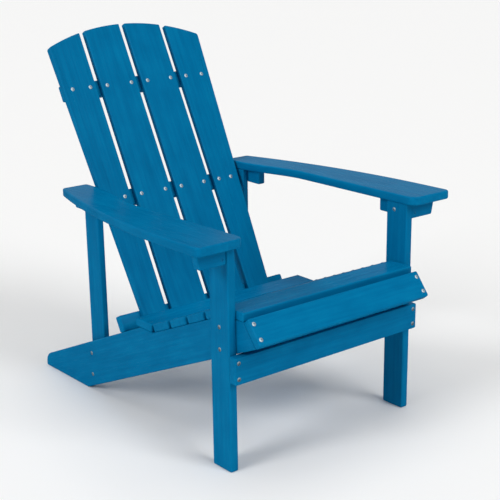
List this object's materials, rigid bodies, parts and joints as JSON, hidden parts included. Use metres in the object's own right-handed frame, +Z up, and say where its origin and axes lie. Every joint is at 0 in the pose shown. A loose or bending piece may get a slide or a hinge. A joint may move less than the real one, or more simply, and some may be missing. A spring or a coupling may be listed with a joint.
{
  "type": "adirondack chair",
  "caption": "Fixed slatted garden armchair of resin boards: reclined fan of back slats with a crowned top, sloping seat, broad flared arms and side rails that reach the floor as rear legs.",
  "frame": {"origin": "on the floor, under the middle of the chair's bounding box", "axes": "+Z up, the sitter faces -Y, +X is the viewer's right when the chair is seen from the front"},
  "size_m": [0.732, 0.8912, 0.8702],
  "materials": {
    "resin_board": "matte blue resin lumber with a faint embossed wood grain",
    "screw_steel": "plain bright steel",
    "coated_steel": "steel with a coat in the colour of the boards"
  },
  "bodies": {
    "root": {"apron_screws": "screw_steel", "arm_left": "resin_board", "arm_right": "resin_board", "back_slat_inner_left": "resin_board", "back_slat_inner_right": "resin_board", "back_slat_outer_left": "resin_board", "back_slat_outer_right": "resin_board", "bracket_screws": "coated_steel", "front_apron": "resin_board", "front_arm_bracket_left": "resin_board", "front_arm_bracket_right": "resin_board", "front_arm_cleat_left": "resin_board", "front_arm_cleat_right": "resin_board", "front_arm_screws": "screw_steel", "front_cleat_screws": "screw_steel", "front_leg_left": "resin_board", "front_leg_right": "resin_board", "leg_screws": "screw_steel", "lip_screws": "screw_steel", "lower_back_rail": "resin_board", "lower_back_screws": "screw_steel", "lower_rail_screws": "screw_steel", "middle_back_screws": "screw_steel", "middle_batten": "resin_board", "middle_batten_screws": "screw_steel", "post_screws": "screw_steel", "rear_arm_cleat_left": "resin_board", "rear_arm_cleat_right": "resin_board", "rear_arm_screws": "screw_steel", "rear_cleat_screws": "screw_steel", "rear_post_left": "resin_board", "rear_post_right": "resin_board", "seat_front_slat": "resin_board", "seat_lip": "resin_board", "seat_rear_slat": "resin_board", "seat_screws": "coated_steel", "seat_slat_1": "resin_board", "seat_slat_2": "resin_board", "seat_slat_3": "resin_board", "seat_slat_4": "resin_board", "stringer_left": "resin_board", "stringer_right": "resin_board", "upper_back_screws": "screw_steel", "upper_batten": "resin_board"}
  },
  "joints": []
}
